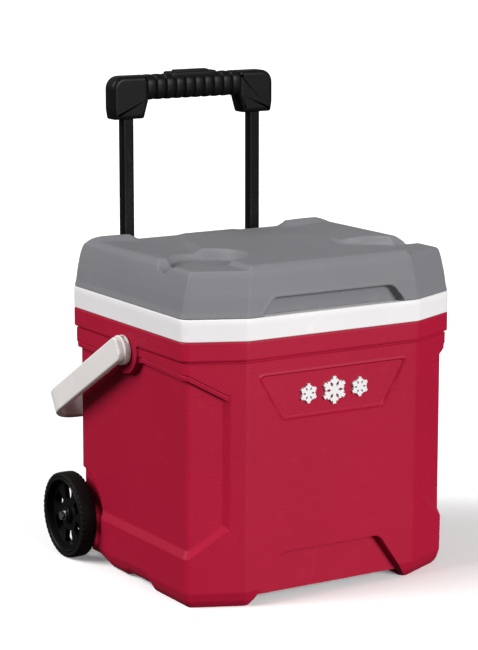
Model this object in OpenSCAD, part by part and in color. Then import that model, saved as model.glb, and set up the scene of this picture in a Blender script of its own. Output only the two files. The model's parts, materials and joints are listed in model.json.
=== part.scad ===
// Wheeled cooler with a telescoping tow handle, a swinging carry handle and a hinged lid.
// X runs to the right, the front faces -Y, Z is up and the floor is z = 0.

/* [Body] */
// Width across the rim
rim_w = 356; // [346:1:366]
// Depth of the rim, front face to back face
rim_d = 290; // [288:1:294]
// Height of the seam between body and lid
seam_z = 325; // [323:1:328]
// Height of the white rim band
band_h = 25; // [20:1:30]
// Height of the red collar under the band
collar_h = 21.5; // [18:0.5:24]
// How far each front corner facet runs back along the side
facet_back = 30.3; // [26:0.1:34]
// How far each front corner facet runs in along the front
facet_in = 65.3; // [58:0.1:70]
// Thickness of the outer casing
wall = 2.6; // [2.4:0.1:3]

/* [Tub] */
// Wall and insulation thickness at the sides
side_wall = 35; // [32:1:40]
// Height of the tub's floor
tub_floor = 48; // [44:1:60]

/* [Lid] */
// Height of the raised middle of the lid at its front edge
plateau_z = 380.7; // [378:0.1:382]
// Height of the lower areas beside the raised middle
wing_z = 375.8; // [375:0.1:376.5]
// Distance of the drink holders from the middle
cup_x = 107; // [104:1:109]
// Distance of the drink holders from the front
cup_y = 96.6; // [92:0.1:102]
// Radius of the drink holders at their floor
cup_r = 41.5; // [38:0.5:43]
// Height of the drink holders' floor
cup_z = 368.4; // [366:0.1:372]
// Height of the lid's hinge axis
hinge_z = 360; // [359:0.5:361]
// Distance of the lid's hinge axis from the front
hinge_y = 300; // [299.5:0.1:300.5]

/* [Tow handle] */
// Distance of each tube from the middle
tube_x = 87.3; // [86:0.1:88]
// Distance of the tubes from the front
tube_y = 316; // [315.5:0.1:316.5]
// Width of a tube
tube_w = 16; // [14:1:17]
// Depth of a tube
tube_d = 12; // [11:1:12]
// Travel of the tow handle
tow_travel = 188; // [150:1:188]
// Half width of the grip
grip_x = 110; // [108:1:111]
// Height of the bottom of the grip's elbows, pulled out
grip_z = 511.4; // [510:0.1:520]
// Travel of the release button
press = 3; // [2:0.5:3]

/* [Carry handle] */
// Distance of the carry handle's pivot from the front
bail_y = 159; // [157:1:161]
// Height of the carry handle's pivot
bail_z = 271; // [270:0.5:272]
// Length from pivot to the outside of the cross bar
bail_len = 209; // [208:0.5:212]
// Width of the carry handle's strap
bail_w = 28.5; // [26:0.5:30]
// Thickness of the carry handle's strap
bail_t = 8; // [6:0.5:8]
// Angle that the carry handle hangs below level
bail_hang = 30; // [28:0.5:31]

/* [Wheels] */
// Radius of the wheels
wheel_r = 51; // [49:0.5:53]
// Width of the wheels
wheel_w = 20; // [18:1:20]
// Distance of the axle from the front
axle_y = 285; // [284:1:286]
// Radius of the axle
axle_r = 4; // [3.5:0.1:4.5]

/* [Hidden] */
$fn = 64;

// Clearances between parts: at rest faces, and on radius for parts that turn
gap = 0.4;
run_fit = 0.05;

rim_x = rim_w / 2;
rim_r = 14;
band_z = seam_z - band_h;
collar_z = band_z - collar_h;
facet_angle = atan2(facet_back, facet_in);
belly_z = 17.5;
bail_reach = bail_len * cos(bail_hang) + bail_w / 2 * sin(bail_hang);
overall_d = bail_y + bail_reach;

bail_x = rim_x + 15;
hub_r = 16.9;
boss_r = 28.4;
pivot_r = 5;
wheel_in = rim_x - 3.2;
wheel_out = wheel_in + wheel_w;
axle_end = wheel_out + 1.6;
well_x = rim_x - 13.5;
well_r = wheel_r + 6;
tread_d = 6;

body_red = [0.70, 0.08, 0.17];
white = [0.93, 0.93, 0.93];
lid_grey = [0.42, 0.42, 0.45];
bail_grey = [0.80, 0.78, 0.76];
black = [0.06, 0.06, 0.07];
foam_yellow = [0.93, 0.88, 0.65];
steel = [0.72, 0.72, 0.74];

housing_top = grip_z - tow_travel - 2.4;
housing_back = tube_y + tube_d / 2 + 2.5;
housing_front = rim_d - 2.2;
channel_x = 13;
tube_bottom = housing_top - 62;
grip_d = 24;
bar_z = grip_z + 21.6;
bar_top = bar_z + 29;
button_l = 46;
button_top = bar_top + 4.5;
yoke_top = bar_top - 9.4;
yoke_low = yoke_top - 4;
screw_x = tube_x - 23.3;
screw_zs = [100, 250];
bracket_screw_zs = [seam_z - 36, seam_z - 14];
pin_z = tube_bottom + 9;
hinge_xs = [135, -135];
lid_z = seam_z + gap;
crown_z = plateau_z + 1.7;
notch_y = rim_d - 15.4;

// ---- shared geometry ----

// Puts geometry measured from the rim's front face into the part's own frame
module place() {
    translate([0, -overall_d / 2, 0]) children();
}

// Repeats its children on the left and on the right
module both_sides() {
    for (side = [0, 1]) mirror([side, 0, 0]) children();
}

// A cylinder along X, starting at x
module rod_x(x, y, z, r, l) {
    translate([x, y, z]) rotate([0, 90, 0]) cylinder(r = r, h = l);
}

// A cylinder along Y, starting at y
module rod_y(x, y, z, r, l) {
    translate([x, y, z]) rotate([-90, 0, 0]) cylinder(r = r, h = l);
}

// A plate drawn in X and Z, from y0 to y1
module plate_xz(points, y0, y1) {
    translate([0, y1, 0]) rotate([90, 0, 0]) linear_extrude(y1 - y0) polygon(points);
}

// A plate drawn in Y and Z, from x0 to x1
module plate_yz(points, x0, x1) {
    translate([x0, 0, 0]) rotate([90, 0, 90]) linear_extrude(x1 - x0) polygon(points);
}

module box(low, high) {
    translate(low) cube(high - low);
}

function unit(v) = v / norm(v);

// The arc that rounds corner a between its neighbours p and b
function arc_corner(p, a, b, r, n) =
    let (
        u = unit(p - a),
        v = unit(b - a),
        half = acos(max(-1, min(1, u * v))) / 2,
        c = a + unit(u + v) * r / sin(half),
        s = a + u * r / tan(half) - c,
        e = a + v * r / tan(half) - c,
        start = atan2(s[1], s[0]),
        turn = atan2(e[1], e[0]) - start,
        sweep = turn > 180 ? turn - 360 : turn < -180 ? turn + 360 : turn
    )
    [for (i = [0:n]) c + r * [cos(start + sweep * i / n), sin(start + sweep * i / n)]];

// A polygon with every corner rounded
function rounded(pts, r, n = 6) =
    let (count = len(pts))
    [for (i = [0:count - 1])
        each arc_corner(pts[(i + count - 1) % count], pts[i], pts[(i + 1) % count], r, n)];

// The rim outline moved in by its own distance at the sides, front, back and facets
function outline(side, front, back, facet) =
    let (
        x = rim_x - side,
        y = facet_back + (facet - sin(facet_angle) * side) / cos(facet_angle),
        xf = rim_x - (facet - cos(facet_angle) * (front - facet_back)) / sin(facet_angle)
    )
    rounded([[x, rim_d - back], [-x, rim_d - back], [-x, y], [-xf, front], [xf, front], [x, y]],
        max(4, rim_r - side));

function inset(d) = outline(d, d, d, d);

// A plain rectangle with rounded corners, from its low to its high corner
function slab(x, y0, y1, r) = rounded([[x, y1], [-x, y1], [-x, y0], [x, y0]], r);

// A closed skin through a stack of outlines, each [outline, height]
module loft(rings) {
    n = len(rings[0][0]);
    m = len(rings);
    points = [for (ring = rings) for (p = ring[0]) [p[0], p[1], ring[1]]];
    sides = [for (j = [0:m - 2]) for (i = [0:n - 1])
        let (a = j * n + i, b = j * n + (i + 1) % n)
        each [[a, a + n, b + n], [a, b + n, b]]];
    bottom = [for (i = [0:n - 1]) i];
    top = [for (i = [n - 1:-1:0]) (m - 1) * n + i];
    polyhedron(points, concat([bottom], sides, [top]));
}

// A round flat screw along Y with its head at y
module screw_y(x, y, z, r, l) {
    rod_y(x, y - l, z, r, l);
    rod_y(x, y, z, r * 2, r * 0.9);
}

// ---- body ----

// The pocket that wraps from each side on to the front facet
module side_pocket(grow) {
    pocket_in = 7.5 + grow;
    low = 62 - grow;
    front_view = [
        [132 - grow, 93 - grow], [rim_x - 8, low], [rim_x + 10, low], [rim_x + 10, 290],
        [rim_x - 6, 290], [rim_x - 7, 256 + grow], [132 - grow, 244 + grow],
    ];
    side_view = [
        [-10, low - 50], [rim_d + 10, low - 50], [rim_d + 10, 260 + grow], [bail_y, 260 + grow],
        [125, 268 + grow], [30, 255 + grow], [-10, 250 + grow],
    ];
    difference() {
        both_sides() intersection() {
            plate_xz(front_view, -10, rim_d + 10);
            plate_yz(side_view, 100, rim_x + 20);
        }
        translate([0, 0, -1]) linear_extrude(seam_z) polygon(inset(pocket_in));
        both_sides() rod_x(well_x - 20, bail_y, bail_z, boss_r - grow, 60);
    }
}

// Everything cut into the casing from outside, grown by a distance for its inner face
module body_cuts(grow) {
    side_pocket(grow);
    plate_xz([[-64 - grow, 56.5 + grow], [-106 - grow, -1], [106 + grow, -1], [64 + grow, 56.5 + grow]],
        -10, 17 + grow);
    box([-100 - grow, -10, -1], [100 + grow, rim_d + 10, 9 + grow]);
    plate_yz([[113, -1], [122, 6 + grow], [165, 6 + grow], [178, 2 + grow], [212, 2 + grow],
        [240, 10 + grow], [rim_d + 20, 10 + grow], [rim_d + 20, -1]], -rim_x - 10, rim_x + 10);
    both_sides() rod_x(well_x - grow, axle_y, wheel_r, well_r + grow, 40);
    box([-rim_x - 10, axle_y - 17 - grow, -1], [rim_x + 10, rim_d + 10, 72 + grow]);
}

module body_shell() {
    color(body_red) place() difference() {
        union() {
            loft([[outline(13, 13.8, 13, 13.5), 0], [outline(4.5, 5.3, 4.5, 5), belly_z],
                [inset(2.4), collar_z - 16], [inset(2.4), collar_z]]);
            translate([0, 0, collar_z]) linear_extrude(collar_h) polygon(inset(0));
            both_sides() rod_x(rim_x - 10, bail_y, bail_z, boss_r, 10);
        }
        body_cuts(0);
        difference() {
            loft([[outline(17, 18, 17, 18), wall], [outline(7.2, 8, 7.2, 7.6), belly_z + 4],
                [inset(5.2), collar_z - 16], [inset(5.2), band_z + 1]]);
            body_cuts(wall);
            both_sides() rod_x(rim_x - 24, bail_y, bail_z, 12, 24);
        }
        plate_xz(rounded([[-95.5, 258.5], [-66, 210], [66, 210], [95.5, 258.5]], 5), -10, 3.9);
        both_sides() {
            rod_x(rim_x - 30, bail_y, bail_z, pivot_r, 40);
            for (z = screw_zs) rod_y(screw_x, rim_d - 12, z, 2.2, 14);
        }
        for (x = hinge_xs) rod_y(x, rim_d - 8, bracket_screw_zs[0], 2, 10);
    }
}

// The tub's inside, from its floor to the seam
module tub_space() {
    in_x = rim_x - side_wall;
    loft([[slab(in_x - 8, 40, 250, 24), tub_floor], [slab(in_x - 4, 36, 254, 24), tub_floor + 14],
        [slab(in_x, 32, 258, 24), seam_z + 1]]);
}

module body_liner() {
    color(white) place() difference() {
        union() {
            translate([0, 0, band_z]) linear_extrude(band_h) polygon(inset(0));
            loft([[slab(rim_x - side_wall - 5, 37.5, 252.5, 24), tub_floor - wall],
                [slab(rim_x - side_wall - 1, 33, 257, 24), tub_floor + 12],
                [slab(rim_x - side_wall + 3, 29, 261, 24), band_z + 1]]);
        }
        tub_space();
        difference() {
            translate([0, 0, band_z - 1]) linear_extrude(band_h - 2) polygon(inset(3));
            loft([[slab(rim_x - side_wall + 2.6, 29.4, 260.6, 24), band_z - 2],
                [slab(rim_x - side_wall + 3, 29, 261, 24), seam_z]]);
        }
        for (x = hinge_xs) rod_y(x, rim_d - 8, bracket_screw_zs[1], 2, 10);
    }
}

module body_foam() {
    color(foam_yellow) place() difference() {
        loft([[inset(28), 24], [inset(16), 82], [inset(12), band_z - 1]]);
        loft([[slab(rim_x - side_wall - 4.5, 37, 253, 24), tub_floor - wall - 0.5],
            [slab(rim_x - side_wall - 0.5, 32.5, 257.5, 24), tub_floor + 12],
            [slab(rim_x - side_wall + 3.5, 28.5, 261.5, 24), band_z + 1]]);
        box([-rim_x, axle_y - 26, -1], [rim_x, rim_d, 80]);
        both_sides() rod_x(well_x - 8, axle_y, wheel_r, well_r + 8, 60);
        both_sides() rod_x(rim_x - 34, bail_y, bail_z, 14, 40);
        plate_xz([[-74, 68], [-116, -1], [116, -1], [74, 68]], -10, 28);
    }
}

// One six-armed ice crystal, drawn flat
module crystal(r, t) {
    for (turn = [0:60:300]) rotate(turn) {
        translate([0, -t / 2]) square([r, t]);
        for (side = [-1, 1]) translate([r * 0.52, 0]) rotate(side * 55)
            translate([0, -t * 0.4]) square([r * 0.38, t * 0.8]);
    }
}

module front_emblem() {
    color(white) place() for (spot = [[0, 15.5, 4.4], [-34, 11, 3.4], [34, 11, 3.4]])
        translate([spot[0], 3.9, 234]) rotate([90, 0, 0]) linear_extrude(2.9)
            rotate(30) crystal(spot[1], spot[2]);
}

// The lower block of the housing that carries the axle
module axle_block() {
    profile = [
        [axle_y - 16.6, 30], [axle_y - 4, 24], [axle_y + 20, 24], [housing_back, 40],
        [housing_back, 71.6], [axle_y - 16.6, 71.6],
    ];
    difference() {
        plate_yz(profile, -well_x + 2, well_x - 2);
        for (x = [-96, -32, 32, 96])
            box([x - 28, axle_y - 20, 20], [x + 28, housing_back - 3, 68]);
    }
}

module tow_housing() {
    color(black) place() difference() {
        union() {
            axle_block();
            box([-108, housing_front, 71.6], [108, housing_front + 7, housing_top]);
            both_sides() box([tube_x - channel_x, housing_front, 71.6],
                [tube_x + channel_x, housing_back, housing_top]);
            for (z = [125, 175, 225]) box([-tube_x, housing_front, z], [tube_x, housing_front + 14, z + 4]);
        }
        both_sides() {
            box([tube_x - tube_w / 2 - 0.4, tube_y - tube_d / 2 - 0.4, 60],
                [tube_x + tube_w / 2 + 0.4, tube_y + tube_d / 2 + 0.4, housing_top + 1]);
            box([tube_x, tube_y - 3, 66], [tube_x + tube_w / 2 + 3.4, tube_y + 3, housing_top - 20]);
            box([tube_x - 10.5, tube_y - 8, housing_top - 12], [tube_x + 10.5, tube_y + 8, housing_top + 1]);
            box([tube_x - 10, housing_front - 1, 80], [tube_x + 10, tube_y - 9.5, housing_top - 16]);
            for (z = screw_zs) rod_y(screw_x, housing_front - 1, z, 2.2, 12);
        }
        box([-rim_x - 1, rim_d - 8, band_z - 0.2 - collar_h], [rim_x + 1, rim_d + gap, seam_z + 1]);
        rod_x(-rim_x, axle_y, wheel_r, axle_r, rim_w);
    }
}

module housing_screws() {
    color(steel) place() both_sides() for (z = screw_zs)
        screw_y(screw_x, housing_front + 7, z, 2.2, 12);
}

module guide_bush() {
    difference() {
        union() {
            box([-10.5, -8, housing_top - 12], [10.5, 8, housing_top]);
            box([-13, -9.5, housing_top], [13, housing_back - tube_y, housing_top + 2]);
        }
        box([-tube_w / 2 - 0.3, -tube_d / 2 - 0.3, 0], [tube_w / 2 + 0.3, tube_d / 2 + 0.3, 600]);
    }
}

module guide_bush_left() {
    color(black) place() translate([-tube_x, tube_y, 0]) guide_bush();
}

module guide_bush_right() {
    color(black) place() translate([tube_x, tube_y, 0]) guide_bush();
}

// Hinge cheeks that stand up behind the rim and carry the pins
module hinge_brackets() {
    cheek = [
        [rim_d + gap, collar_z + 4], [rim_d + 4.4, collar_z + 4], [hinge_y + 5, hinge_z - 20],
        [hinge_y + 5, hinge_z], [hinge_y - 5, hinge_z], [hinge_y - 6, hinge_z - 18],
        [rim_d + gap, seam_z - 2],
    ];
    color(black) place() difference() {
        for (x = hinge_xs) {
            for (side = [-15, 9]) {
                plate_yz(cheek, x + side, x + side + 6);
                rod_x(x + side, hinge_y, hinge_z, 5, 6);
            }
            box([x - 15, rim_d + gap, collar_z + 4], [x + 15, rim_d + 4.4, seam_z - 4]);
        }
        for (x = hinge_xs) {
            rod_x(x - 20, hinge_y, hinge_z, 2.5, 40);
            for (z = bracket_screw_zs) rod_y(x, rim_d - 4, z, 2, 12);
        }
    }
}

module hinge_pins() {
    color(steel) place() for (x = hinge_xs) rod_x(x - 16, hinge_y, hinge_z, 2.5, 32);
}

module hinge_screws() {
    color(steel) place() for (x = hinge_xs) for (z = bracket_screw_zs)
        screw_y(x, rim_d + 4.4, z, 2, 7);
}

// Stud that the carry handle's hub turns on, with a flat head outside the hub
module bail_pivot() {
    rod_x(rim_x - 24, bail_y, bail_z, pivot_r, bail_x - rim_x + 22.5);
    rod_x(bail_x - 4.5, bail_y, bail_z, 7.5, 3);
}

module bail_pivot_left() {
    color(bail_grey) place() mirror([1, 0, 0]) bail_pivot();
}

module bail_pivot_right() {
    color(bail_grey) place() bail_pivot();
}

module axle() {
    color(steel) place() rod_x(-axle_end, axle_y, wheel_r, axle_r, 2 * axle_end);
}

module axle_spacers() {
    color(steel) place() both_sides() difference() {
        rod_x(well_x - 1.6, axle_y, wheel_r, 9, wheel_in - well_x + 0.8);
        rod_x(well_x - 5, axle_y, wheel_r, axle_r, 25);
    }
}

module push_nuts() {
    color(steel) place() both_sides() difference() {
        union() {
            rod_x(wheel_out - 3.6, axle_y, wheel_r, 6, 1.6);
            rod_x(wheel_out - 2, axle_y, wheel_r, 5, 4.2);
        }
        rod_x(wheel_out - 5, axle_y, wheel_r, axle_r, axle_end - wheel_out + 5);
    }
}

// ---- lid ----

// The lid's outer form with its domed edges
module lid_form() {
    loft([[outline(0.8, 0.8, 0.8, 0.8), lid_z], [outline(2.8, 1.6, 1.8, 2), seam_z + 7],
        [outline(5.6, 3, 3.2, 4), seam_z + 22], [outline(8.5, 4.8, 5, 6.4), seam_z + 34],
        [outline(11.3, 6.2, 7, 8.4), seam_z + 44], [outline(14.2, 7.4, 9, 10.4), seam_z + 50],
        [outline(18.9, 9.4, 13, 13), seam_z + 54.4], [outline(25.5, 13, 18, 17), crown_z]]);
}

// A drink holder pocket with drafted walls, grown by a distance for the underside
module cup_pocket(grow) {
    translate([cup_x, cup_y, 0]) rotate_extrude() polygon([
        [0, cup_z - grow], [cup_r + grow, cup_z - grow], [cup_r + 5 + grow, crown_z + 1], [0, crown_z + 1],
    ]);
}

// Finger recess under the front edge of the lid
module finger_recess(grow) {
    plate_xz([[-91.5 - grow, seam_z - 1], [91.5 + grow, seam_z - 1], [91.5 + grow, seam_z + 3.4],
        [77.7 + grow, seam_z + 19.5 + grow], [-77.7 - grow, seam_z + 19.5 + grow],
        [-91.5 - grow, seam_z + 3.4]], -5, 14 + grow);
}

// What is taken off the lid's top: the domed middle with its back slope, the wings and the front
// pads beside it, the notch at the end of each rail, and the drink holders
module lid_top_cuts(grow) {
    steps = 6;
    span = notch_y - 8;
    dome = [for (i = [0:steps]) [8 + span * i / steps,
        plateau_z - 4.3 * i / steps + 2.4 * sin(180 * i / steps) - grow]];
    plate_yz(concat([[-5, plateau_z - grow]], dome,
        [[rim_d + 5, plateau_z - 4.3 - 31 - grow], [rim_d + 5, crown_z + 5], [-5, crown_z + 5]]), -112, 112);
    wing_plan = [
        [101, 100], [97, 120], [82, 148], [77, 161], [68, 199], [48, 241], [37, 262], [32, notch_y + 2],
        [99, notch_y + 2], [108, 260], [rim_x + 10, 260], [rim_x + 10, 100],
    ];
    wing_front = [[20, wing_z - grow], [96, wing_z - grow], [160, wing_z + 3.6 - grow],
        [rim_x + 10, wing_z + 3.6 - grow], [rim_x + 10, crown_z + 5], [20, crown_z + 5]];
    notch = [[72, wing_z + 0.2 - grow], [87 - grow, cup_z - grow], [101 + grow, cup_z + 1.2 - grow],
        [112 + grow, wing_z + 3.6], [112 + grow, crown_z + 5], [72, crown_z + 5]];
    both_sides() {
        intersection() {
            linear_extrude(crown_z + 5) offset(delta = grow) polygon(wing_plan);
            plate_xz(wing_front, -5, rim_d + 5);
        }
        box([101 - grow, -5, wing_z - grow], [rim_x + 10, 105 + grow, crown_z + 5]);
        plate_yz(notch, 146 - grow, rim_x + 10);
        cup_pocket(grow);
    }
}

module lid_shell() {
    color(lid_grey) place() difference() {
        lid_form();
        lid_top_cuts(0);
        finger_recess(0);
        difference() {
            loft([[inset(4.6), lid_z - 1], [outline(7, 6, 6, 6), seam_z + 10],
                [outline(12, 8, 9, 9.4), seam_z + 34], [outline(18, 11, 13, 13), seam_z + 48],
                [outline(24, 14, 18, 17), crown_z - 3]]);
            lid_top_cuts(2.6);
            finger_recess(2.6);
        }
        for (x = hinge_xs) rod_y(x, rim_d - 14, hinge_z - 10, 1.6, 16);
    }
}

module lid_liner() {
    in_x = rim_x - side_wall;
    color(white) place() difference() {
        union() {
            translate([0, 0, lid_z]) linear_extrude(2.4)
                polygon(outline(6, 17.4, 6, 12));
            loft([[slab(in_x - 9, 41, 249, 20), seam_z - 17], [slab(in_x - 5, 37, 253, 22), lid_z + 1]]);
        }
        loft([[slab(in_x - 11.4, 43.4, 246.6, 20), seam_z - 14.6],
            [slab(in_x - 7.4, 39.4, 250.6, 22), lid_z + 3]]);
    }
}

module lid_foam() {
    in_x = rim_x - side_wall;
    color(foam_yellow) place() union() {
        loft([[slab(in_x - 11.8, 43.8, 246.2, 20), seam_z - 14.2],
            [slab(in_x - 7.8, 39.8, 250.2, 22), lid_z + 2.9]]);
        translate([0, 0, lid_z + 2.6]) linear_extrude(32) polygon(outline(14, 22, 16, 22));
    }
}

module lid_gasket() {
    in_x = rim_x - side_wall;
    color([0.8, 0.8, 0.8]) place() translate([0, 0, seam_z - 9]) difference() {
        linear_extrude(3.4) polygon(slab(in_x - 1.6, 35.4, 256.4, 22));
        translate([0, 0, -1]) linear_extrude(6) polygon(slab(in_x - 5.9, 37.9, 252.1, 20));
    }
}

module hinge_leaves() {
    arm = [
        [rim_d - 2, hinge_z - 24], [hinge_y - 5, hinge_z - 8], [hinge_y, hinge_z - 5],
        [hinge_y, hinge_z + 5], [rim_d - 5.8, hinge_z + 5], [rim_d - 3.6, hinge_z - 8],
    ];
    color(lid_grey) place() difference() {
        for (x = hinge_xs) {
            plate_yz(arm, x - 8.6, x + 8.6);
            rod_x(x - 8.6, hinge_y, hinge_z, 5, 17.2);
        }
        for (x = hinge_xs) {
            rod_x(x - 20, hinge_y, hinge_z, 2.5 + run_fit, 40);
            rod_y(x, rim_d - 12, hinge_z - 10, 1.6, 12);
        }
    }
}

module leaf_screws() {
    color(steel) place() for (x = hinge_xs) rod_y(x, rim_d - 12, hinge_z - 10, 1.6, 10);
}

// ---- carry handle ----

// The strap's U, in its own plane: pivots on y = 0, cross bar at y = bail_len
module bail_strap() {
    corner_r = 47;
    n = 12;
    outer = concat([[bail_x, 0]],
        arc_corner([bail_x, 0], [bail_x, bail_len], [0, bail_len], corner_r, n),
        arc_corner([0, bail_len], [-bail_x, bail_len], [-bail_x, 0], corner_r, n), [[-bail_x, 0]]);
    ix = bail_x - bail_t;
    il = bail_len - bail_t;
    inner = concat([[-ix, 0]],
        arc_corner([-ix, 0], [-ix, il], [0, il], corner_r - bail_t, n),
        arc_corner([0, il], [ix, il], [ix, 0], corner_r - bail_t, n), [[ix, 0]]);
    translate([0, 0, -bail_w / 2]) linear_extrude(bail_w) polygon(concat(outer, inner));
}

module bail_handle() {
    color(bail_grey) place() translate([0, bail_y, bail_z]) rotate([-bail_hang, 0, 0]) difference() {
        union() {
            bail_strap();
            both_sides() {
                rod_x(bail_x - bail_t, 0, 0, bail_w / 2, bail_t);
                rod_x(rim_x + gap, 0, 0, hub_r, bail_x - bail_t - rim_x + 1);
            }
        }
        both_sides() {
            rod_x(rim_x - 5, 0, 0, pivot_r + run_fit, 40);
            rod_x(bail_x - 4.8, 0, 0, 7.5 + gap, 10);
        }
    }
}

// ---- tow handle ----

// A tube's outline with its corners rounded by r
function tube_outline(grow, r) =
    rounded([
        [tube_w / 2 + grow, tube_d / 2 + grow], [-tube_w / 2 - grow, tube_d / 2 + grow],
        [-tube_w / 2 - grow, -tube_d / 2 - grow], [tube_w / 2 + grow, -tube_d / 2 - grow],
    ], r, 5);

// The tube has a hole low on its outer side for the lock pin
module tow_tube() {
    difference() {
        translate([0, 0, tube_bottom]) linear_extrude(grip_z + 24 - tube_bottom) difference() {
            polygon(tube_outline(0, 3.5));
            polygon(tube_outline(-1.4, 2.2));
        }
        rod_x(0, 0, pin_z, 2.6, 20);
    }
}

module tow_tube_left() {
    color(black) place() translate([-tube_x, tube_y, 0]) mirror([1, 0, 0]) tow_tube();
}

module tow_tube_right() {
    color(black) place() translate([tube_x, tube_y, 0]) tow_tube();
}

// Front view of the grip: a bar between two elbows
function grip_outline() = let (
        top = bar_top,
        inner = 67,
        right = concat([[inner + 2, grip_z]], [[grip_x - 2, grip_z]], [[grip_x, grip_z + 6]],
            arc_corner([grip_x, grip_z], [grip_x, top], [0, top], 16, 6), [[34, top]],
            [[32, top + 2.6]]),
        left = [for (i = [len(right) - 1:-1:0]) [-right[i][0], right[i][1]]],
        under = [[-inner + 8, bar_z], [inner - 8, bar_z]]
    ) concat(right, left, under);

// The space inside the grip for the yoke, the rods and the button
module grip_space() {
    box([-tube_x - 3, -4, yoke_low - press - gap], [tube_x + 3, 4, yoke_top + gap]);
    box([-4.6, -4.6, bar_z + 4], [4.6, 4.6, bar_top]);
    box([-button_l / 2 - gap, -5.5 - gap, bar_top - 5 - press - gap],
        [button_l / 2 + gap, 5.5 + gap, bar_top + 10]);
    both_sides() {
        box([tube_x - 3, -4, grip_z + 20], [tube_x + 3, 4, yoke_top]);
        translate([tube_x, 0, grip_z - 1]) linear_extrude(25.02) polygon(tube_outline(0.02, 3.5));
    }
}

// One half of the grip: y0 and y1 are its two faces
module grip_half(y0, y1) {
    difference() {
        union() {
            plate_xz(grip_outline(), y0, y1);
            translate([0, 0, (bar_z + bar_top) / 2]) intersection() {
                for (i = [-4.5:1:4.5]) translate([i * 13 - 2.5, 0, 0]) rotate([0, 90, 0])
                    linear_extrude(5) square([31, grip_d + 2], center = true);
                box([-70, y0 < 0 ? y0 - 1 : 0, -40], [70, y1 > 0 ? y1 + 1 : 0, 13]);
            }
        }
        grip_space();
        both_sides() rod_y(tube_x - 14, -grip_d, grip_z + 10, 1.6, 2 * grip_d);
    }
}

module grip_front() {
    color(black) place() translate([0, tube_y, 0]) grip_half(-grip_d / 2, 0);
}

module grip_rear() {
    color(black) place() translate([0, tube_y, 0]) grip_half(0, grip_d / 2);
}

module grip_screws() {
    color(steel) place() both_sides() rod_y(tube_x - 14, tube_y - 9, grip_z + 10, 1.6, 20);
}

// Plugs that close the tubes' lower ends and guide the lock pins
module tube_plugs() {
    color(black) place() for (side = [0, 1]) mirror([side, 0, 0]) translate([tube_x, tube_y, 0])
        difference() {
            union() {
                translate([0, 0, tube_bottom]) linear_extrude(18) polygon(tube_outline(-1.5, 2));
                translate([0, 0, tube_bottom - 3]) linear_extrude(3) polygon(tube_outline(-0.2, 3));
            }
            rod_x(-4.6, 0, pin_z, 2.5 + run_fit, 20);
            box([-2.6, -2.4, pin_z], [2.6, 2.4, tube_bottom + 20]);
        }
}

// A coil spring that stands between the grip's floor and the yoke
module button_spring() {
    turns = 4;
    steps = 12;
    sides = 6;
    coil_r = 3;
    wire_r = 0.6;
    low = bar_z + 4.8;
    pitch = (yoke_low - 0.8 - low) / turns;
    count = turns * steps;
    points = [for (i = [0:count]) for (j = [0:sides - 1])
        let (a = i * 360 / steps, b = j * 360 / sides, r = coil_r + wire_r * cos(b))
        [r * cos(a), r * sin(a), low + pitch * a / 360 + wire_r * sin(b)]];
    skin = [for (i = [0:count - 1]) for (j = [0:sides - 1])
        let (a = i * sides + j, b = i * sides + (j + 1) % sides)
        each [[a, a + sides, b + sides], [a, b + sides, b]]];
    first = [for (j = [0:sides - 1]) j];
    last = [for (j = [sides - 1:-1:0]) count * sides + j];
    color(steel) place() translate([0, tube_y, 0]) polyhedron(points, concat([first], skin, [last]));
}

module tow_button() {
    color(black) place() translate([0, tube_y, 0]) {
        box([-button_l / 2, -5.5, bar_top - 5], [button_l / 2, 5.5, button_top]);
        box([-4, -3.5, yoke_top], [4, 3.5, bar_top - 5]);
    }
}

module link_yoke() {
    color(black) place() translate([0, tube_y, 0])
        box([-tube_x - 2.4, -3.4, yoke_low], [tube_x + 2.4, 3.4, yoke_top]);
}

// Rods that run down inside the tubes to the lock pins
module link_rods() {
    low = pin_z + 6 + press;
    color(steel) place() both_sides()
        translate([tube_x, tube_y, low]) cylinder(r = 1.8, h = yoke_low - low);
}

module lock_pin() {
    rod_x(-1.4, 0, pin_z, 2.5, tube_w / 2 + 3.4);
}

module lock_pin_left() {
    color(steel) place() translate([-tube_x, tube_y, 0]) mirror([1, 0, 0]) lock_pin();
}

module lock_pin_right() {
    color(steel) place() translate([tube_x, tube_y, 0]) lock_pin();
}

// ---- wheels ----

// The wheel's moulding, along X from its inner to its outer face, with six openings in its web
module wheel() {
    rim_out = wheel_r - tread_d;
    difference() {
        union() {
            difference() {
                rod_x(wheel_in, 0, 0, rim_out, wheel_w);
                rod_x(wheel_in - 1, 0, 0, rim_out - 5, wheel_w + 2);
            }
            rod_x(wheel_in + 6, 0, 0, rim_out - 4, 6);
            rod_x(wheel_in - gap, 0, 0, 10.5, wheel_w - 4 + gap);
        }
        for (turn = [0:60:300]) rotate([turn, 0, 0]) translate([wheel_in - 1, 0, 0])
            rotate([90, 0, 90]) linear_extrude(wheel_w + 2)
                polygon([[-6, 19], [6, 19], [10, 36], [-10, 36]]);
        rod_x(wheel_in - 5, 0, 0, axle_r + run_fit, wheel_w + 10);
    }
}

// The tread ring, with shallow cross grooves at its shoulders
module tyre() {
    grooves = 36;
    difference() {
        rod_x(wheel_in, 0, 0, wheel_r, wheel_w);
        rod_x(wheel_in - 1, 0, 0, wheel_r - tread_d, wheel_w + 2);
        for (i = [0:grooves - 1]) rotate([(i + 0.5) * 360 / grooves, 0, 0])
            for (x = [wheel_in - 1, wheel_out - 3])
                box([x, -1, wheel_r - 1.2], [x + 4, 1, wheel_r + 2]);
    }
}

module at_wheel(side) {
    place() translate([0, axle_y, wheel_r]) mirror([side, 0, 0]) children();
}

module wheel_left() {
    color(black) at_wheel(1) wheel();
}

module tyre_left() {
    color([0.1, 0.1, 0.1]) at_wheel(1) tyre();
}

module wheel_right() {
    color(black) at_wheel(0) wheel();
}

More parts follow.
